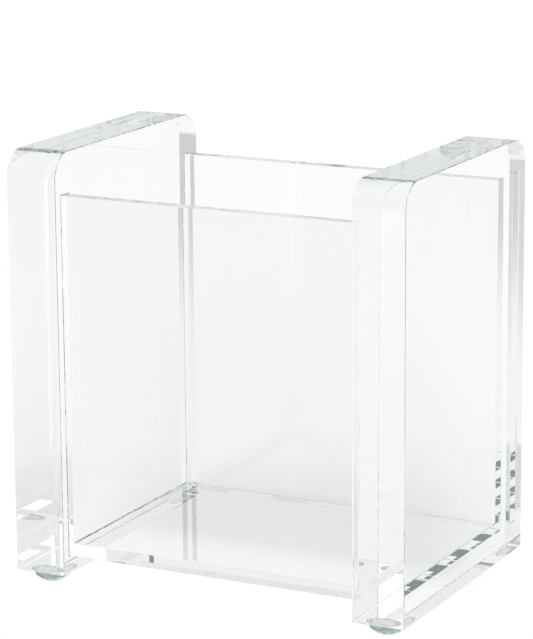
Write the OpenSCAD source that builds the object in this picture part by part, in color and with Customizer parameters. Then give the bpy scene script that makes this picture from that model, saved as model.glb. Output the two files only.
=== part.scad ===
// Clear acrylic pen holder cup: two thick side blocks joined by three thin panels.
// Origin at the bottom centre: z = 0 is the surface that the feet rest on, the front faces -Y.

/* [Overall] */
// Width over both side blocks
overall_w = 101.6; // [80:0.2:140]
// Depth of a side block, front to back
block_d = 69; // [50:0.5:100]
// Height of a side block
block_h = 101.6; // [70:0.2:140]

/* [Side blocks] */
// Thickness of a side block
block_t = 13; // [8:0.5:18]
// Radius of the top front and top back corners
corner_r = 6.4; // [2:0.2:12]

/* [Panels] */
// Thickness of the front and back panels
panel_t = 3.2; // [2:0.2:5]
// Thickness of the floor panel
floor_t = 2.4; // [1:0.2:5]
// Distance that the front panel sits behind the front of the blocks
front_setback = 2.8; // [1:0.1:5]
// Distance that the back panel sits in front of the back of the blocks
back_setback = 3; // [1:0.1:5]
// Distance from the top of the blocks down to the top of the panels
panel_drop = 10; // [7:0.5:16]
// Distance from the bottom of the blocks up to the underside of the cup
floor_raise = 4.4; // [2:0.2:8]

/* [Cement] */
// Thickness of the cured cement film between two bonded faces
film_t = 0.1; // [0.06:0.02:0.2]
// Leg of the small fillet that the cement leaves along a joint
bead = 0.4; // [0.3:0.1:0.8]

/* [Feet] */
// Diameter of a foot
foot_d = 8.4; // [6:0.1:10]
// Height of the clear dome of a foot
dome_h = 2.7; // [1.8:0.1:4]
// Thickness of the adhesive disc above the dome
adhesive_t = 0.3; // [0.2:0.1:0.5]
// Distance from a block's front or back face to the centre of a foot
foot_inset = 5.6; // [5:0.1:8]
// Diameter of the flat patch that a dome rests on
contact_d = 4; // [1:0.2:5]

/* [Hidden] */
$fn = 96;

// Heights above the surface that the holder stands on
foot_h = dome_h + adhesive_t;
block_top = foot_h + block_h;
cup_bottom = foot_h + floor_raise;
panel_top = block_top - panel_drop;
panel_h = panel_top - cup_bottom;

// Distances from the middle
inner_x = overall_w / 2 - block_t;
panel_half = inner_x - film_t;
front_outer_y = -block_d / 2 + front_setback;
front_inner_y = front_outer_y + panel_t;
back_outer_y = block_d / 2 - back_setback;
back_inner_y = back_outer_y - panel_t;
floor_d = back_inner_y - front_inner_y;
foot_x = overall_w / 2 - block_t / 2;
foot_y = block_d / 2 - foot_inset;

// Shallow cup shape of a fillet: an arc through both leg ends, centred outside the corner
arc_offset = 1.2;
arc_r = bead * sqrt(pow(arc_offset, 2) + pow(arc_offset - 1, 2));

// Sphere of a foot's dome: it meets the floor round the contact patch and the straight
// skirt, just under the adhesive, at the foot's full diameter
dome_skirt = 1.2;
dome_rise = dome_h - dome_skirt;
dome_centre = (pow(foot_d / 2, 2) - pow(contact_d / 2, 2) + pow(dome_rise, 2)) / (2 * dome_rise);
dome_r = sqrt(pow(dome_centre, 2) + pow(contact_d / 2, 2));

// How far a cutting shape reaches past what it cuts
cut_past = 1;

clear_blue = [0.93, 0.97, 0.96, 0.4];
panel_blue = [0.85, 0.93, 0.91, 0.35];
cement_green = [0.45, 0.58, 0.55];
foot_grey = [0.62, 0.70, 0.74];
adhesive_grey = [0.82, 0.81, 0.78];

// Side of the block outline seen along X: square at the bottom, rounded at both top corners
module block_outline() {
    difference() {
        translate([-block_d / 2, 0])
            square([block_d, block_h]);
        for (side = [-1, 1])
            translate([side * (block_d / 2 - corner_r), block_h - corner_r])
                difference() {
                    translate([side > 0 ? 0 : -corner_r - cut_past, 0])
                        square(corner_r + cut_past);
                    circle(corner_r);
                }
    }
}

// One side block; side is -1 for the left and 1 for the right
module side_block(side) {
    color(clear_blue)
        translate([side * foot_x - block_t / 2, 0, foot_h])
            rotate([90, 0, 90])
                linear_extrude(block_t)
                    block_outline();
}

// An upright panel whose front face is at y
module upright_panel(y) {
    color(panel_blue)
        translate([-panel_half, y, cup_bottom])
            cube([2 * panel_half, panel_t, panel_h]);
}

module floor_panel() {
    color(panel_blue)
        translate([-panel_half, front_inner_y + film_t, cup_bottom])
            cube([2 * panel_half, floor_d - 2 * film_t, floor_t]);
}

// Section of a fillet in the corner between the +X and +Y directions
module bead_section() {
    difference() {
        square(bead);
        translate([arc_offset * bead, arc_offset * bead])
            circle(arc_r);
    }
}

// A straight fillet that rises from z = 0
module bead_run(length) {
    linear_extrude(length)
        bead_section();
}

// A fillet that turns a quarter circle round the corner of a panel's end, into +Y and +Z
module bead_corner() {
    rotate([0, -90, 0])
        rotate_extrude(angle = 90)
            bead_section();
}

// The end of an upright panel against the inner face of the right block, as if that face
// were the plane x = 0 and the panel stood at x < 0 with its cup side towards +Y
module upright_cement() {
    translate([-film_t, 0, 0])
        cube([film_t, panel_t, panel_h]);
    // Fillet on the outer face of the panel
    rotate([0, 0, 180])
        bead_run(panel_h);
    // Fillet on the cup side, from the floor up
    translate([0, panel_t, floor_t])
        rotate([0, 0, 90])
            bead_run(panel_h - floor_t);
    // Fillet over the top edge
    translate([0, panel_t, panel_h])
        rotate([90, 0, 0])
            mirror([1, 0, 0])
                bead_run(panel_t);
    // Fillet under the bottom edge
    rotate([-90, 0, 0])
        mirror([1, 0, 0])
            bead_run(panel_t);
    // Rounded turns at the free corners
    translate([0, panel_t, panel_h])
        bead_corner();
    translate([0, 0, panel_h])
        mirror([0, 1, 0])
            bead_corner();
    mirror([0, 1, 0])
        mirror([0, 0, 1])
            bead_corner();
}

// Cement at one of the four upright joints; side is -1 left, 1 right, end is -1 front, 1 back
module cement_upright_joint(side, end) {
    outer_y = end < 0 ? front_outer_y : back_outer_y;
    color(cement_green)
        translate([side * inner_x, outer_y, cup_bottom])
            mirror([side < 0 ? 1 : 0, 0, 0])
                mirror([0, end > 0 ? 1 : 0, 0])
                    upright_cement();
}

// Cement between the floor and a side block
module cement_floor_side(side) {
    run = floor_d - 2 * bead;
    color(cement_green)
        translate([side * inner_x, 0, cup_bottom])
            mirror([side < 0 ? 1 : 0, 0, 0]) {
                translate([-film_t, front_inner_y + film_t, 0])
                    cube([film_t, floor_d - 2 * film_t, floor_t]);
                translate([0, back_inner_y - bead, floor_t])
                    rotate([90, 0, 0])
                        mirror([1, 0, 0])
                            bead_run(run);
            }
}

// Cement between the floor and an upright panel; end is -1 for the front and 1 for the back
module cement_floor_end(end) {
    inner_y = end < 0 ? front_inner_y : back_inner_y;
    run = 2 * (panel_half - bead);
    color(cement_green)
        translate([0, inner_y, cup_bottom])
            mirror([0, end > 0 ? 1 : 0, 0]) {
                translate([-panel_half, 0, 0])
                    cube([2 * panel_half, film_t, floor_t]);
                translate([-run / 2, 0, floor_t])
                    rotate([90, 0, 90])
                        bead_run(run);
            }
}

// The domed bumper: a short round skirt over a cap of a sphere
module foot_dome(side, end) {
    color(foot_grey)
        translate([side * foot_x, end * foot_y, 0])
            intersection() {
                cylinder(d = foot_d, h = dome_h);
                translate([0, 0, dome_centre])
                    sphere(dome_r);
            }
}

// The self-adhesive disc that holds a bumper to its block
module foot_adhesive(side, end) {
    color(adhesive_grey)
        translate([side * foot_x, end * foot_y, dome_h])
            cylinder(d = foot_d, h = adhesive_t);
}

side_block(-1);  // left_side_block
side_block(1);  // right_side_block
upright_panel(front_outer_y);  // front_panel
upright_panel(back_inner_y);  // back_panel
floor_panel();
cement_upright_joint(-1, -1);  // cement_front_left
cement_upright_joint(1, -1);  // cement_front_right
cement_upright_joint(-1, 1);  // cement_back_left
cement_upright_joint(1, 1);  // cement_back_right
cement_floor_side(-1);  // cement_floor_left
cement_floor_side(1);  // cement_floor_right
cement_floor_end(-1);  // cement_floor_front
cement_floor_end(1);  // cement_floor_back
foot_dome(-1, -1);  // foot_front_left
foot_dome(1, -1);  // foot_front_right
foot_dome(-1, 1);  // foot_back_left
foot_dome(1, 1);  // foot_back_right
foot_adhesive(-1, -1);  // adhesive_front_left
foot_adhesive(1, -1);  // adhesive_front_right
foot_adhesive(-1, 1);  // adhesive_back_left
foot_adhesive(1, 1);  // adhesive_back_right
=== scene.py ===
"""The looks of the clear acrylic pen holder cup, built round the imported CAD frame.

Every acrylic piece is a closed solid of its own. Where two pieces are bonded, the touching faces carry
the face attribute "bond", which makes them pass light straight through, as cured cement does.
"""

import math

import bmesh
import bpy
from mathutils import Matrix, Vector, noise


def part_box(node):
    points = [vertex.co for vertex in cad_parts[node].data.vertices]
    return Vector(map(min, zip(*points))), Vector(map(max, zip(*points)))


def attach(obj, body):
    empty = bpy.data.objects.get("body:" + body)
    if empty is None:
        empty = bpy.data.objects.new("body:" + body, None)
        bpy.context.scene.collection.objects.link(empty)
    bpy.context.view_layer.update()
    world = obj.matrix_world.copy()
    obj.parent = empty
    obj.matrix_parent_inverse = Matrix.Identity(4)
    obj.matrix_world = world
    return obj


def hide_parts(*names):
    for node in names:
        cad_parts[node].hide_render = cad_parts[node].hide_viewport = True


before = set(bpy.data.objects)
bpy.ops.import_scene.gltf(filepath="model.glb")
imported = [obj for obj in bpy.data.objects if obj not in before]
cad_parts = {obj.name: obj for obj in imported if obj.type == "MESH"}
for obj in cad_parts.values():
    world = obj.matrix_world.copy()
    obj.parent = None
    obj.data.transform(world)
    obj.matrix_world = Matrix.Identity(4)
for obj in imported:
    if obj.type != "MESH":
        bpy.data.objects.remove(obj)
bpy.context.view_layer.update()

MM = 0.001
LEFT, RIGHT = -1, 1
FRONT, BACK = -1, 1
SIDE_NAMES = {LEFT: "left", RIGHT: "right"}
END_NAMES = {FRONT: "front", BACK: "back"}

# Sizes that the CAD boxes don't give
CORNER_R = 6.4 * MM  # rounded top corners of the side blocks
ARRIS_R = 0.25 * MM  # eased edges of the side blocks
FOOT_CORNER_R = 0.4 * MM  # square bottom corners of the side blocks, barely eased
PANEL_ARRIS = 0.12 * MM  # eased long edges of the front and back panels
CONTACT_R = 2.0 * MM  # flat patch under a foot's dome
DOME_SKIRT = 1.2 * MM  # straight rim of a dome
ADHESIVE_EDGE = 0.2 * MM  # darker line round an adhesive disc
CLEARANCE = 0.01 * MM  # air left between two pieces that touch, so that no two faces coincide
WELD = 0.001 * MM  # points of a seam closer than this are one point

# How finely curves are cut
ARC_STEPS = 40
ARRIS_STEPS = 3
CIRCLE_STEPS = 64
TURN_STEPS = 6
FILLET_STEPS = 6
DOME_STEPS = 16
BEVEL_STEPS = 2
ROUND_PROFILE = 0.5
SHARP_ANGLE = 30  # degrees between a dome's faces above which their edge stays sharp
STATION_GAP = 1.0 * MM

# How far out from its corner the middle of a fillet's arc lies: 0 is the corner, and 0.5 is the straight
# line between the ends of its legs
FILLET_FULLNESS = 0.36
FILLET_UNEVEN = 0.06  # how much that varies along a joint
UNEVEN_LENGTH = 4 * MM

# Parts of a face's normal
FACES_AXIS = 0.9  # a face with this much along an axis looks that way
EDGEWARD = 0.3  # a face of a panel with more than this towards its open edges is a cut edge

# Surfaces. A clarity is the grey level of a base colour, a density is per metre of depth, and a scale
# is the number of noise features to a metre.
IOR = 1.49  # acrylic, its cement and soft polyurethane all bend light about alike
BLOCK_CLARITY = 0.93
BLOCK_DENSITY = 0.8
PANEL_CLARITY = 0.973
PANEL_DENSITY = 1.2
ACRYLIC_TINT = (0.5, 0.8, 0.76, 1)
EDGE_ROUGHNESS = 0.02
EDGE_WAVE = 0.004 * MM  # height of the polishing wave on cut edges
EDGE_WAVE_SCALE = 420.0
CEMENT_COLOUR = (0.93, 0.96, 0.95, 1)
CEMENT_ROUGHNESS = 0.12
CEMENT_GRAIN_SCALE = 900.0
DOME_COLOUR = (0.93, 0.95, 0.955, 1)
DOME_TINT = (0.55, 0.68, 0.70, 1)
DOME_DENSITY = 110.0
DOME_ROUGHNESS = 0.1
DOME_GRAIN_SCALE = 700.0
DISC_COLOUR = (0.98, 0.95, 0.93, 1)
DISC_EDGE_COLOUR = (0.35, 0.42, 0.42, 1)
DISC_ROUGHNESS = 0.7
SPECK_SCALE = 2600.0
SPECK_DETAIL = 4.0

# Directions on the floor. The first two follow the camera's azimuth of 27 degrees: they point to its
# right and away from it, and the floor's painted brightness and painted shade are laid out along them.
# They are fixed in the world, so from other angles the painted soft shade shows on the open floor.
STUDIO_RIGHT = (0.891, 0.454)
STUDIO_BACK = (-0.454, 0.891)
# Towards the unlit corner of the surround, which shows as the dark ladder in the floor panel's end
DARK_CORNER = (-0.545, -0.839)

# Ranges: each value eases from the third number at the first to the fourth at the second.
SPECK_COVER = (0.4, 0.65, 0.25, 0.95)  # how opaque the adhesive is, over the speck noise
# Painted light on the floor: its dimming, glow and shade are set here by position, not cast by any lamp or
# by the object
FRONT_DIMMING = (-0.2, -0.04, 0.4, 0.0)  # over the floor, in metres along STUDIO_BACK
NEAR_GLOW = (0.02, 0.3, 1.0, 1.04)
FAR_GLOW = (0.3, 0.6, 1.0, 0.98)
UNDER_SHADE = (0.04, 0.11, 0.14, 0.0)
BEHIND_SHADE = (0.08, 0.45, 0.07, 0.0)
LEFT_DIMMING = (-0.25, -0.02, 1.0, 0.0)  # over the floor, in metres along STUDIO_RIGHT
RIGHT_GLOW = (0.02, 0.3, 1.0, 1.03)
SHADE_WIDTH = (0.025, 0.055, 1.0, 0.0)  # either way along STUDIO_RIGHT
SHADE_START = (0.0, 0.02, 0.0, 1.0)  # over the floor, in metres along Y
DARK_SPREAD = (0.7, 0.9, 0.0, 1.0)  # over the surround, by how far a direction points to DARK_CORNER
RIGHT_LIGHT = (0.0, 0.8, 1.0, 1.2)  # by how far it points to STUDIO_RIGHT
HIGH_LIGHT = (0.1, 0.35, 0.7, 1.0)  # by how far it points up

# Stage
FLOOR_RADIUS = 6.0
FLOOR_STEPS = 96
FLOOR_GAP = 0.02 * MM  # the floor lies this far under the feet
LIT_GREY = (0.95, 0.95, 0.95, 1)
UNLIT_TEAL = (0.03, 0.09, 0.10, 1)

# Camera: angles in degrees, aim as offsets from the middle of the blocks, lens and sensor in mm
AZIMUTH = 27.096
ELEVATION = 13.395
ROLL = -0.435
DISTANCE = 697.76 * MM
AIM_RIGHT = -0.775 * MM
AIM_UP = 8.207 * MM
LENS = 165.08
SENSOR_WIDTH = 36.0
CLIP_START = 0.01
CLIP_END = 50.0

# Light paths
LIGHT_BOUNCES = 40
TRANSPARENT_BOUNCES = 64

# Places, all taken from the CAD boxes
left_lo, left_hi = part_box("left_side_block")
right_lo, right_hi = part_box("right_side_block")
front_lo, front_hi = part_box("front_panel")
back_lo, back_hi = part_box("back_panel")
floor_lo, floor_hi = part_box("floor_panel")
bead_lo, bead_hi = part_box("cement_floor_left")
BEAD = bead_hi.x - bead_lo.x
FILM = front_lo.x - left_hi.x
CUP_BOTTOM = front_lo.z
FLOOR_TOP = floor_hi.z
PANEL_TOP = front_hi.z
CENTRE_Z = (left_lo.z + left_hi.z) / 2


# ---------------------------------------------------------------- mesh helpers


def mesh_object(bm, name, material):
    """An object in the scene from a bmesh, which is freed."""
    mesh = bpy.data.meshes.new(name)
    bm.to_mesh(mesh)
    bm.free()
    mesh.materials.append(material)
    made = bpy.data.objects.new(name, mesh)
    bpy.context.scene.collection.objects.link(made)
    return made


def piece_from(bm, name, material, slot, *nodes, smooth=False):
    """A named piece of the object from a bmesh, standing for CAD nodes and riding on the root body."""
    bmesh.ops.recalc_face_normals(bm, faces=bm.faces)
    for face in bm.faces:
        face.smooth = smooth
    piece = mesh_object(bm, name, material)
    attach(piece, "root")
    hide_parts(*nodes)
    return piece


def new_bmesh():
    """An empty bmesh with its two face attributes: bond and rim."""
    bm = bmesh.new()
    return bm, bm.faces.layers.float.new("bond"), bm.faces.layers.float.new("rim")


def arc(centre, radius, start, end, steps):
    """Points and outward normals along an arc in the YZ plane, its angles in degrees from +Y to +Z."""
    found = []
    for i in range(steps + 1):
        angle = math.radians(start + (end - start) * i / steps)
        normal = Vector((0, math.cos(angle), math.sin(angle)))
        found.append((centre + radius * normal, normal))
    return found


def circle_angles():
    """The angles of a circle's points, in radians."""
    return [2 * math.pi * i / CIRCLE_STEPS for i in range(CIRCLE_STEPS)]


def close_loop(bm, verts):
    """Edges between consecutive verts, round to the first."""
    return [
        bm.edges.get((a, b)) or bm.edges.new((a, b))
        for a, b in zip(verts, verts[1:] + verts[:1])
    ]


def fill_between(bm, outer, holes):
    """Triangles between an outer loop of edges and the holes in it."""
    edges = outer + [edge for hole in holes for edge in hole]
    made = bmesh.ops.triangle_fill(bm, use_beauty=True, edges=edges)
    return [item for item in made["geom"] if isinstance(item, bmesh.types.BMFace)]


# ---------------------------------------------------------------- side blocks


def block_outline():
    """Points and normals round a side block seen along X, from the bottom front corner."""
    y0, y1, z0, z1 = left_lo.y, left_hi.y, left_lo.z, left_hi.z
    small, large = FOOT_CORNER_R, CORNER_R
    return (
        arc(Vector((0, y1 - small, z0 + small)), small, -90, 0, ARRIS_STEPS)
        + arc(Vector((0, y1 - large, z1 - large)), large, 0, 90, ARC_STEPS)
        + arc(Vector((0, y0 + large, z1 - large)), large, 90, 180, ARC_STEPS)
        + arc(Vector((0, y0 + small, z0 + small)), small, 180, 270, ARRIS_STEPS)
    )


def bond_outline():
    """The U-shaped outline, in the YZ plane, where the panels and their cement meet a block."""
    fo, fi, bi, bo = front_lo.y, front_hi.y, back_lo.y, back_hi.y
    bottom, top = CUP_BOTTOM, PANEL_TOP

    def turn(y, z, start, end):
        """Points of a fillet's quarter turn about a corner."""
        return [point for point, _ in arc(Vector((0, y, z)), BEAD, start, end, TURN_STEPS)]

    points = turn(fo, bottom, 180, 270)
    points += [Vector((0, fi, bottom - BEAD)), Vector((0, fi, bottom))]
    points += [Vector((0, bi, bottom)), Vector((0, bi, bottom - BEAD))]
    points += turn(bo, bottom, 270, 360)
    points += turn(bo, top, 0, 90)
    points += turn(bi, top, 90, 180)
    points += [Vector((0, bi - BEAD, FLOOR_TOP + BEAD)), Vector((0, fi + BEAD, FLOOR_TOP + BEAD))]
    points += turn(fi, top, 0, 90)
    points += turn(fo, top, 90, 180)
    return points


def block_rings(bm, inner_x, outer_x):
    """Rings of points round a block, from its inner face to its outer face, with both rims eased."""
    outward = 1 if outer_x > inner_x else -1
    outline = block_outline()
    rings = []
    for start, direction in ((inner_x, outward), (outer_x, -outward)):
        steps = []
        for i in range(ARRIS_STEPS + 1):
            angle = math.radians(90 * i / ARRIS_STEPS)
            x = start + direction * ARRIS_R * (1 - math.cos(angle))
            inset = ARRIS_R * (1 - math.sin(angle))
            steps.append([bm.verts.new(p - n * inset + Vector((x, 0, 0))) for p, n in outline])
        rings += steps if start == inner_x else steps[::-1]
    return rings


def block_walls(bm, rim, rings):
    """The faces between a block's rings, and its outer face. Returns the flat underside."""
    count = len(rings[0])
    underside = None
    for lower, upper in zip(rings, rings[1:]):
        for i in range(count):
            j = (i + 1) % count
            face = bm.faces.new((lower[i], lower[j], upper[j], upper[i]))
            face[rim] = 1.0
            if lower is rings[ARRIS_STEPS] and i == count - 1:
                underside = face
    bm.faces.new(rings[-1])
    return underside


def bond_feet(bm, bond, rim, side, underside):
    """Cuts the round bonded faces of two feet into a block's underside."""
    edges = list(underside.edges)
    bmesh.ops.delete(bm, geom=[underside], context="FACES_ONLY")
    circles = []
    for end in (FRONT, BACK):
        centre, radius = foot_place(side, end)
        verts = [
            bm.verts.new((centre.x + radius * math.cos(a), centre.y + radius * math.sin(a), left_lo.z))
            for a in circle_angles()
        ]
        circles.append(close_loop(bm, verts))
        bm.faces.new(verts)[bond] = 1.0
    for face in fill_between(bm, edges, circles):
        face[rim] = 1.0


def side_block(side, material):
    """One thick block, its inner face bonded along the U and its underside bonded to two feet."""
    bm, bond, rim = new_bmesh()
    inner_x = left_hi.x if side == LEFT else right_lo.x
    outer_x = left_lo.x if side == LEFT else right_hi.x
    rings = block_rings(bm, inner_x, outer_x)
    underside = block_walls(bm, rim, rings)
    u_verts = [bm.verts.new(p + Vector((inner_x, 0, 0))) for p in bond_outline()]
    u_edges = close_loop(bm, u_verts)
    fill_between(bm, close_loop(bm, rings[0]), [u_edges])
    bm.faces.new(u_verts)[bond] = 1.0
    bond_feet(bm, bond, rim, side, underside)
    name = f"{SIDE_NAMES[side]}_side_block"
    return piece_from(bm, f"{name}_acrylic", material, "block_acrylic", name)


# ---------------------------------------------------------------- panels


def ease_long_edges(bm):
    """Eases the edges of an upright panel that run along X."""
    along_x = [e for e in bm.edges if abs(e.verts[0].co.x - e.verts[1].co.x) > BEAD]
    bmesh.ops.bevel(
        bm, geom=along_x, offset=PANEL_ARRIS, segments=BEVEL_STEPS, profile=ROUND_PROFILE, affect="EDGES"
    )


def panel_cuts(is_floor, lo, hi):
    """Planes that part a panel's bonded strips from its clear faces, each as a point and a normal."""
    leg = BEAD - FILM
    cuts = [
        (Vector((lo.x + leg, 0, 0)), Vector((1, 0, 0))),
        (Vector((hi.x - leg, 0, 0)), Vector((1, 0, 0))),
    ]
    if is_floor:
        return cuts + [
            (Vector((0, lo.y + leg, 0)), Vector((0, 1, 0))),
            (Vector((0, hi.y - leg, 0)), Vector((0, 1, 0))),
        ]
    return cuts + [
        (Vector((0, 0, FLOOR_TOP)), Vector((0, 0, 1))),
        (Vector((0, 0, FLOOR_TOP + BEAD)), Vector((0, 0, 1))),
    ]


def panel(node, material, is_bonded):
    """A thin sheet in a CAD panel's box. is_bonded(centre, normal) tells which faces are bonded."""
    is_floor = node == "floor_panel"
    lo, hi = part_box(node)
    bm, bond, rim = new_bmesh()
    bmesh.ops.create_cube(bm, size=1)
    bmesh.ops.scale(bm, vec=hi - lo, verts=bm.verts)
    bmesh.ops.translate(bm, vec=(lo + hi) / 2, verts=bm.verts)
    if not is_floor:
        ease_long_edges(bm)
    for point, normal in panel_cuts(is_floor, lo, hi):
        everything = bm.verts[:] + bm.edges[:] + bm.faces[:]
        bmesh.ops.bisect_plane(bm, geom=everything, plane_co=point, plane_no=normal)
    bm.normal_update()
    for face in bm.faces:
        face[bond] = 1.0 if is_bonded(face.calc_center_median(), face.normal) else 0.0
        upward = abs(face.normal.z)
        edgeward = 1 - upward if is_floor else upward
        face[rim] = 1.0 if edgeward > EDGEWARD else 0.0
    return piece_from(bm, f"{node}_acrylic", material, "panel_acrylic", node)


def upright_bonded(end):
    """The bonded faces of the front or back panel: its ends, their fillet strips, and the floor's joint."""
    lo, hi = (front_lo, front_hi) if end == FRONT else (back_lo, back_hi)
    leg = BEAD - FILM

    def test(centre, normal):
        """Whether the face with this centre and normal is bonded."""
        on_cup_side = normal.y * end < -FACES_AXIS
        at_floor = on_cup_side and centre.z < FLOOR_TOP + BEAD
        return abs(centre.x) > hi.x - leg or at_floor

    return test


def floor_bonded(centre, normal):
    """The bonded faces of the floor: its four edges and the fillet strips on its top."""
    leg = BEAD - FILM
    near_side = abs(centre.x) > floor_hi.x - leg
    near_end = centre.y < floor_lo.y + leg or centre.y > floor_hi.y - leg
    is_edge = abs(normal.z) < FACES_AXIS
    is_top = normal.z > FACES_AXIS
    return is_edge or (is_top and (near_side or near_end))


# ---------------------------------------------------------------- cement


def fillet(bm, bond, stations):
    """A closed, slightly uneven fillet along stations of a corner and its two leg directions."""
    rings = []
    for corner, a, b in stations:
        fullness = FILLET_FULLNESS + FILLET_UNEVEN * noise.noise(corner / UNEVEN_LENGTH)
        start = corner + CLEARANCE * (a + b)
        leg = BEAD - 2 * CLEARANCE
        ring = [start]
        for i in range(FILLET_STEPS + 1):
            t = i / FILLET_STEPS
            bulge = 4 * t * (1 - t) * (fullness - 0.5)
            ring.append(start + leg * ((1 - t + bulge) * a + (t + bulge) * b))
        rings.append([bm.verts.new(p) for p in ring])
    count = FILLET_STEPS + 2
    for lower, upper in zip(rings, rings[1:]):
        for i in range(count):
            j = (i + 1) % count
            face = bm.faces.new((lower[i], lower[j], upper[j], upper[i]))
            face[bond] = 1.0 if i == 0 or j == 0 else 0.0
    bm.faces.new(rings[0][::-1])
    bm.faces.new(rings[-1])


def straight_run(start, end, a, b):
    """Stations a little apart from start to end, with fixed leg directions."""
    count = max(2, round((end - start).length / STATION_GAP))
    return [(start.lerp(end, i / count), a, b) for i in range(count + 1)]


def film_box(bm, bond, lo, hi):
    """The cured film between two bonded faces: a thin box, all of it bonded."""
    made = bmesh.ops.create_cube(bm, size=1)["verts"]
    size = hi - lo - Vector((2, 2, 2)) * CLEARANCE
    bmesh.ops.scale(bm, vec=size, verts=made)
    bmesh.ops.translate(bm, vec=(lo + hi) / 2, verts=made)
    for face in {f for v in made for f in v.link_faces}:
        face[bond] = 1.0


def corner_turn(corner, first, last, across):
    """Stations that turn from one leg direction to another about a corner."""
    found = []
    for i in range(1, TURN_STEPS):
        angle = math.radians(90 * i / TURN_STEPS)
        direction = math.cos(angle) * first + math.sin(angle) * last
        found.append((corner, direction, across))
    return found


def upright_stations(side, end):
    """Stations round an upright panel's end: up the cup side, over the top, down the outside, under."""
    lo, hi = (front_lo, front_hi) if end == FRONT else (back_lo, back_hi)
    block_x = left_hi.x if side == LEFT else right_lo.x
    inward = Vector((-side, 0, 0))
    outer_y, cup_y = (lo.y, hi.y) if end == FRONT else (hi.y, lo.y)
    away, cupward = Vector((0, end, 0)), Vector((0, -end, 0))
    up, down = Vector((0, 0, 1)), Vector((0, 0, -1))
    cup_foot = Vector((block_x, cup_y, FLOOR_TOP))
    cup_top = Vector((block_x, cup_y, PANEL_TOP))
    outer_top = Vector((block_x, outer_y, PANEL_TOP))
    outer_foot = Vector((block_x, outer_y, CUP_BOTTOM))
    cup_heel = Vector((block_x, cup_y, CUP_BOTTOM))
    return (
        straight_run(cup_foot, cup_top, cupward, inward)
        + corner_turn(cup_top, cupward, up, inward)
        + straight_run(cup_top, outer_top, up, inward)
        + corner_turn(outer_top, up, away, inward)
        + straight_run(outer_top, outer_foot, away, inward)
        + corner_turn(outer_foot, away, down, inward)
        + straight_run(outer_foot, cup_heel, down, inward)
    )


def upright_cement(side, end, material):
    """The cement between an upright panel's end and a block: the film and the fillet round it."""
    node = f"cement_{END_NAMES[end]}_{SIDE_NAMES[side]}"
    lo, hi = (front_lo, front_hi) if end == FRONT else (back_lo, back_hi)
    xs = sorted((left_hi.x, lo.x) if side == LEFT else (right_lo.x, hi.x))
    bm, bond, _ = new_bmesh()
    fillet(bm, bond, upright_stations(side, end))
    film_box(bm, bond, Vector((xs[0], lo.y, lo.z)), Vector((xs[1], hi.y, hi.z)))
    bmesh.ops.remove_doubles(bm, verts=bm.verts, dist=WELD)
    return piece_from(bm, f"{node}_seam", material, "acrylic_cement", node)


def floor_side_cement(side, material):
    """The cement between the floor and a block."""
    node = f"cement_floor_{SIDE_NAMES[side]}"
    block_x = left_hi.x if side == LEFT else right_lo.x
    floor_x = floor_lo.x if side == LEFT else floor_hi.x
    start = Vector((block_x, front_hi.y + BEAD, FLOOR_TOP))
    end = Vector((block_x, back_lo.y - BEAD, FLOOR_TOP))
    bm, bond, _ = new_bmesh()
    fillet(bm, bond, straight_run(start, end, Vector((0, 0, 1)), Vector((-side, 0, 0))))
    xs = sorted((block_x, floor_x))
    film_box(bm, bond, Vector((xs[0], floor_lo.y, floor_lo.z)), Vector((xs[1], floor_hi.y, floor_hi.z)))
    return piece_from(bm, f"{node}_seam", material, "acrylic_cement", node)


def floor_end_cement(end, material):
    """The cement between the floor and the front or back panel."""
    node = f"cement_floor_{END_NAMES[end]}"
    panel_y = front_hi.y if end == FRONT else back_lo.y
    floor_y = floor_lo.y if end == FRONT else floor_hi.y
    start = Vector((floor_lo.x + BEAD, panel_y, FLOOR_TOP))
    stop = Vector((floor_hi.x - BEAD, panel_y, FLOOR_TOP))
    bm, bond, _ = new_bmesh()
    fillet(bm, bond, straight_run(start, stop, Vector((0, 0, 1)), Vector((0, -end, 0))))
    ys = sorted((panel_y, floor_y))
    film_box(bm, bond, Vector((floor_lo.x, ys[0], floor_lo.z)), Vector((floor_hi.x, ys[1], floor_hi.z)))
    return piece_from(bm, f"{node}_seam", material, "acrylic_cement", node)


# ---------------------------------------------------------------- feet


def foot_place(side, end):
    """Centre, on the underside of the block, and radius of a foot."""
    lo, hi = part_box(f"adhesive_{END_NAMES[end]}_{SIDE_NAMES[side]}")
    return Vector(((lo.x + hi.x) / 2, (lo.y + hi.y) / 2, hi.z)), (hi.x - lo.x) / 2


def turned(bm, centre, profile):
    """A closed solid of revolution about Z from a profile of (radius, height), its ends flat."""
    rings = []
    for radius, height in profile:
        rings.append([
            bm.verts.new(centre + Vector((radius * math.cos(a), radius * math.sin(a), height)))
            for a in circle_angles()
        ])
    for lower, upper in zip(rings, rings[1:]):
        for i in range(CIRCLE_STEPS):
            j = (i + 1) % CIRCLE_STEPS
            bm.faces.new((lower[i], lower[j], upper[j], upper[i]))
    return bm.faces.new(rings[0][::-1]), bm.faces.new(rings[-1])


def foot_dome(side, end, material):
    """A soft clear bumper: a flattened dome under a short straight rim."""
    node = f"foot_{END_NAMES[end]}_{SIDE_NAMES[side]}"
    lo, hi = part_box(node)
    centre, radius = foot_place(side, end)
    height = hi.z - lo.z - CLEARANCE
    rise = height - DOME_SKIRT
    middle = (radius**2 - CONTACT_R**2 + rise**2) / (2 * rise)
    sphere_r = math.hypot(middle, CONTACT_R)
    profile = []
    for i in range(DOME_STEPS + 1):
        z = rise * (1 - math.cos(math.radians(90 * i / DOME_STEPS)))
        profile.append((math.sqrt(sphere_r**2 - (middle - z) ** 2), z))
    profile.append((radius, height))
    bm, bond, _ = new_bmesh()
    _, top = turned(bm, Vector((centre.x, centre.y, lo.z)), profile)
    top[bond] = 1.0
    piece = piece_from(bm, f"{node}_dome", material, "foot_rubber", node, smooth=True)
    piece.data.set_sharp_from_angle(angle=math.radians(SHARP_ANGLE))
    return piece


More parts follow.
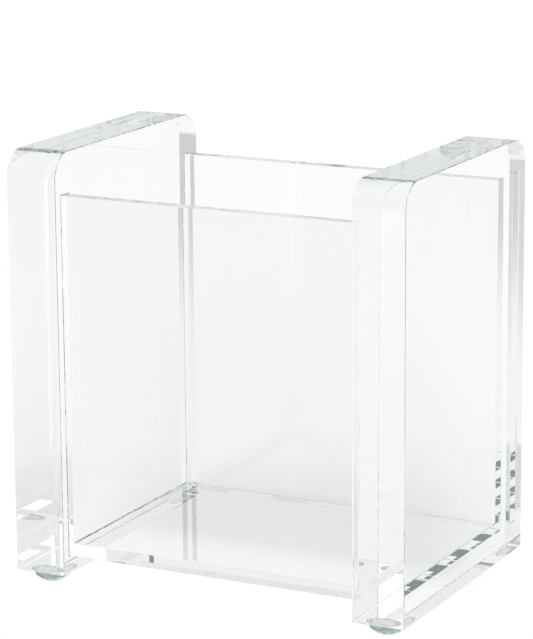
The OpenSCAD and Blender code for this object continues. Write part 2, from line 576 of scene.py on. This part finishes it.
def foot_adhesive(side, end, material):
    """The thin adhesive disc between a dome and the block."""
    node = f"adhesive_{END_NAMES[end]}_{SIDE_NAMES[side]}"
    lo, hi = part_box(node)
    centre, radius = foot_place(side, end)
    thickness = hi.z - lo.z - CLEARANCE
    bm, _, rim = new_bmesh()
    profile = [(radius, 0), (radius, thickness), (radius - ADHESIVE_EDGE, thickness)]
    turned(bm, Vector((centre.x, centre.y, lo.z)), profile)
    for face in bm.faces:
        face[rim] = 1.0 if len(face.verts) == 4 else 0.0
    return piece_from(bm, f"{node}_disc", material, "foot_adhesive", node)


# ---------------------------------------------------------------- materials


def node_material(name):
    """A material with its Principled node, node tree and output."""
    material = bpy.data.materials.new(name)
    material.use_nodes = True
    tree = material.node_tree
    return material, tree, tree.nodes["Principled BSDF"], tree.nodes["Material Output"]


def link(tree, source, target):
    """Links one socket to another."""
    tree.links.new(source, target)


def face_attribute(tree, name):
    """The value of a face attribute."""
    found = tree.nodes.new("ShaderNodeAttribute")
    found.attribute_name = name
    return found.outputs["Fac"]


def maths(tree, operation, first, second):
    """A Math node; each input is a socket or a number."""
    made = tree.nodes.new("ShaderNodeMath")
    made.operation = operation
    for socket, value in zip(made.inputs, (first, second)):
        if isinstance(value, (int, float)):
            socket.default_value = value
        else:
            link(tree, value, socket)
    return made.outputs[0]


def blend_colours(tree, value, first, last):
    """A colour that turns from first to last as a value goes from 0 to 1."""
    made = tree.nodes.new("ShaderNodeValToRGB")
    made.color_ramp.elements[0].color = first
    made.color_ramp.elements[1].color = last
    link(tree, value, made.inputs["Fac"])
    return made.outputs["Color"]


def smooth_range(tree, value, start, stop, low, high):
    """A value that eases from low at start to high at stop."""
    made = tree.nodes.new("ShaderNodeMapRange")
    made.interpolation_type = "SMOOTHSTEP"
    made.inputs["From Min"].default_value = start
    made.inputs["From Max"].default_value = stop
    made.inputs["To Min"].default_value = low
    made.inputs["To Max"].default_value = high
    link(tree, value, made.inputs["Value"])
    return made.outputs["Result"]


def noise_value(tree, scale, detail=2.0):
    """Noise over object coordinates, with features of about 1 / scale metres."""
    coords = tree.nodes.new("ShaderNodeTexCoord")
    texture = tree.nodes.new("ShaderNodeTexNoise")
    texture.inputs["Scale"].default_value = scale
    texture.inputs["Detail"].default_value = detail
    link(tree, coords.outputs["Object"], texture.inputs["Vector"])
    return texture.outputs["Fac"]


def bump(tree, shader, height, distance):
    """Raises the surface by height times distance, in metres."""
    made = tree.nodes.new("ShaderNodeBump")
    made.inputs["Distance"].default_value = distance
    made.inputs["Strength"].default_value = 1.0
    link(tree, height, made.inputs["Height"])
    link(tree, made.outputs["Normal"], shader.inputs["Normal"])


def absorb(tree, output, tint, density):
    """Tints the light that goes through a volume."""
    absorption = tree.nodes.new("ShaderNodeVolumeAbsorption")
    absorption.inputs["Color"].default_value = tint
    absorption.inputs["Density"].default_value = density
    link(tree, absorption.outputs["Volume"], output.inputs["Volume"])


def make_clear(tree, shader, colour):
    """Makes a shader clear, with bonded faces that light passes straight through."""
    shader.inputs["Base Color"].default_value = colour
    shader.inputs["Transmission Weight"].default_value = 1.0
    shader.inputs["IOR"].default_value = IOR
    link(tree, maths(tree, "SUBTRACT", 1.0, face_attribute(tree, "bond")), shader.inputs["Alpha"])


def clear_acrylic(name, clarity, density):
    """Polished acrylic: flat faces, edges with a slight polishing wave, and a faint tint in its depth."""
    material, tree, shader, output = node_material(name)
    make_clear(tree, shader, (clarity, clarity, clarity, 1))
    rim = face_attribute(tree, "rim")
    link(tree, maths(tree, "MULTIPLY", rim, EDGE_ROUGHNESS), shader.inputs["Roughness"])
    wave = maths(tree, "MULTIPLY", rim, noise_value(tree, EDGE_WAVE_SCALE))
    bump(tree, shader, wave, EDGE_WAVE)
    absorb(tree, output, ACRYLIC_TINT, density)
    return material


def cement_material():
    """Cured cement: clear, a little greener and rougher than the sheet."""
    material, tree, shader, _ = node_material("cured_cement")
    make_clear(tree, shader, CEMENT_COLOUR)
    grain = noise_value(tree, CEMENT_GRAIN_SCALE)
    link(tree, maths(tree, "MULTIPLY", grain, CEMENT_ROUGHNESS), shader.inputs["Roughness"])
    return material


def dome_material():
    """Soft clear polyurethane, blue-grey in its depth."""
    material, tree, shader, output = node_material("bumper_polyurethane")
    make_clear(tree, shader, DOME_COLOUR)
    grain = noise_value(tree, DOME_GRAIN_SCALE)
    link(tree, maths(tree, "MULTIPLY", grain, DOME_ROUGHNESS), shader.inputs["Roughness"])
    absorb(tree, output, DOME_TINT, DOME_DENSITY)
    return material


def adhesive_material():
    """Pale adhesive, partly see-through in faint specks, with a darker line round its edge."""
    material, tree, shader, _ = node_material("bumper_adhesive")
    colour = blend_colours(tree, face_attribute(tree, "rim"), DISC_COLOUR, DISC_EDGE_COLOUR)
    link(tree, colour, shader.inputs["Base Color"])
    shader.inputs["Roughness"].default_value = DISC_ROUGHNESS
    specks = noise_value(tree, SPECK_SCALE, detail=SPECK_DETAIL)
    link(tree, smooth_range(tree, specks, *SPECK_COVER), shader.inputs["Alpha"])
    return material


# ---------------------------------------------------------------- stage


def position(tree):
    """The X, Y and Z of a point of the floor, or of a direction of the world."""
    coords = tree.nodes.new("ShaderNodeTexCoord")
    split = tree.nodes.new("ShaderNodeSeparateXYZ")
    link(tree, coords.outputs["Object"], split.inputs["Vector"])
    return split.outputs["X"], split.outputs["Y"], split.outputs["Z"]


def along(tree, direction, x, y):
    """How far a point or a direction lies along a direction on the floor."""
    part_x = maths(tree, "MULTIPLY", x, direction[0])
    part_y = maths(tree, "MULTIPLY", y, direction[1])
    return maths(tree, "ADD", part_x, part_y)


def product(tree, first, *others):
    """Several values multiplied together."""
    for factor in others:
        first = maths(tree, "MULTIPLY", first, factor)
    return first


def floor_shade(tree, y, side, away):
    """The painted shade under and behind the cup, from 0 for none."""
    under = smooth_range(tree, away, *UNDER_SHADE)
    behind = smooth_range(tree, away, *BEHIND_SHADE)
    start = smooth_range(tree, y, *SHADE_START)
    width = smooth_range(tree, maths(tree, "ABSOLUTE", side, 0.0), *SHADE_WIDTH)
    return product(tree, maths(tree, "ADD", under, behind), start, width)


def floor_glow(tree):
    """Painted light of the floor: dimmer at the front left, glowing more behind and to the right, with
    painted shade under and behind the cup.
    """
    x, y, _ = position(tree)
    side = along(tree, STUDIO_RIGHT, x, y)
    away = along(tree, STUDIO_BACK, x, y)
    front = smooth_range(tree, away, *FRONT_DIMMING)
    left = smooth_range(tree, side, *LEFT_DIMMING)
    dimming = maths(tree, "MULTIPLY", front, left)
    near = smooth_range(tree, away, *NEAR_GLOW)
    far = smooth_range(tree, away, *FAR_GLOW)
    right = smooth_range(tree, side, *RIGHT_GLOW)
    shade = floor_shade(tree, y, side, away)
    undimmed = maths(tree, "SUBTRACT", 1.0, dimming)
    unshaded = maths(tree, "SUBTRACT", 1.0, shade)
    return product(tree, undimmed, near, far, right, unshaded)


def floor_stage():
    """A pale floor that gives off its own light, so it takes no shadow from the object; its shade is
    painted by floor_glow.
    """
    material, tree, shader, output = node_material("stage_floor")
    tree.nodes.remove(shader)
    glow = tree.nodes.new("ShaderNodeEmission")
    link(tree, floor_glow(tree), glow.inputs["Strength"])
    link(tree, glow.outputs["Emission"], output.inputs["Surface"])
    bm = bmesh.new()
    bmesh.ops.create_circle(bm, cap_ends=True, radius=FLOOR_RADIUS, segments=FLOOR_STEPS)
    bmesh.ops.translate(bm, vec=(0, 0, -FLOOR_GAP), verts=bm.verts)
    mesh_object(bm, "stage_floor", material)


def soft_world():
    """A soft even surround, brighter on the right, with an unlit corner at the front left."""
    world = bpy.data.worlds.new("soft_studio")
    world.use_nodes = True
    tree = world.node_tree
    x, y, z = position(tree)
    dark = smooth_range(tree, along(tree, DARK_CORNER, x, y), *DARK_SPREAD)
    right = smooth_range(tree, along(tree, STUDIO_RIGHT, x, y), *RIGHT_LIGHT)
    high = smooth_range(tree, z, *HIGH_LIGHT)
    background = tree.nodes["Background"]
    link(tree, blend_colours(tree, dark, LIT_GREY, UNLIT_TEAL), background.inputs["Color"])
    link(tree, maths(tree, "MULTIPLY", right, high), background.inputs["Strength"])
    bpy.context.scene.world = world


def camera():
    """A long lens from the front, right and above."""
    azimuth = math.radians(AZIMUTH)
    elevation = math.radians(ELEVATION)
    back = Vector((
        math.sin(azimuth) * math.cos(elevation),
        -math.cos(azimuth) * math.cos(elevation),
        math.sin(elevation),
    ))
    right = Vector((math.cos(azimuth), math.sin(azimuth), 0))
    up = back.cross(right)
    aim = Vector((0, 0, CENTRE_Z)) + right * AIM_RIGHT + up * AIM_UP
    data = bpy.data.cameras.new("camera")
    data.lens = LENS
    data.sensor_width = SENSOR_WIDTH
    data.clip_start = CLIP_START
    data.clip_end = CLIP_END
    made = bpy.data.objects.new("camera", data)
    tilt = Matrix((right, up, back)).transposed() @ Matrix.Rotation(math.radians(ROLL), 3, "Z")
    made.matrix_world = Matrix.Translation(aim + back * DISTANCE) @ tilt.to_4x4()
    bpy.context.scene.collection.objects.link(made)
    bpy.context.scene.camera = made


def render_settings():
    """Enough bounces for light to pass through every wall, and colours shown as they are."""
    scene = bpy.context.scene
    scene.view_settings.view_transform = "Standard"
    scene.cycles.max_bounces = LIGHT_BOUNCES
    scene.cycles.transmission_bounces = LIGHT_BOUNCES
    scene.cycles.glossy_bounces = LIGHT_BOUNCES
    scene.cycles.transparent_max_bounces = TRANSPARENT_BOUNCES
    scene.cycles.blur_glossy = 0.0


# ---------------------------------------------------------------- the object

block_acrylic = clear_acrylic("block_acrylic", BLOCK_CLARITY, BLOCK_DENSITY)
panel_acrylic = clear_acrylic("panel_acrylic", PANEL_CLARITY, PANEL_DENSITY)
cement = cement_material()
rubber = dome_material()
adhesive = adhesive_material()

panel("front_panel", panel_acrylic, upright_bonded(FRONT))
panel("back_panel", panel_acrylic, upright_bonded(BACK))
panel("floor_panel", panel_acrylic, floor_bonded)
for side in (LEFT, RIGHT):
    side_block(side, block_acrylic)
    floor_side_cement(side, cement)
    for end in (FRONT, BACK):
        upright_cement(side, end, cement)
        foot_dome(side, end, rubber)
        foot_adhesive(side, end, adhesive)
for end in (FRONT, BACK):
    floor_end_cement(end, cement)

floor_stage()
soft_world()
camera()
render_settings()

bpy.context.view_layer.update()
